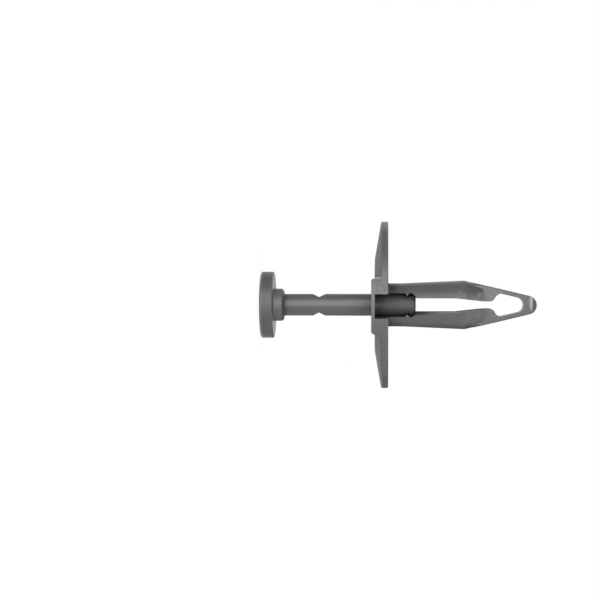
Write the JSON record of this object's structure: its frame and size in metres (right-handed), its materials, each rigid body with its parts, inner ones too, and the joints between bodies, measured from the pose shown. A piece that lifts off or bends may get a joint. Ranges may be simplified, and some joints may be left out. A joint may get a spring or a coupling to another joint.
{
  "type": "plastic push rivet",
  "caption": "Two-piece plastic push rivet: a cone-shaped flange with split legs that swell and taper to an eyed tip, and a notched pin with a dished head that slides in to lock them.",
  "frame": {"origin": "centre of the push pin's head face, at the bottom of the bounding box; the rivet stands on that head", "axes": "+Z along the pin, from its head through the flange to the tip of the legs, which is the way the rivet goes into a panel; +X from one leg to the other; the flange's pry ridge runs out towards -Y"},
  "size_m": [0.025, 0.025, 0.0412],
  "materials": {
    "grey_plastic": "matte"
  },
  "bodies": {
    "rivet": {"rivet_body": "grey_plastic"},
    "pin": {"push_pin": "grey_plastic"}
  },
  "joints": [
    {"name": "pin_slide", "type": "slide", "parent": "rivet", "child": "pin", "axis": [0, 0, 1], "range_m": [0, 0.0132]}
  ]
}
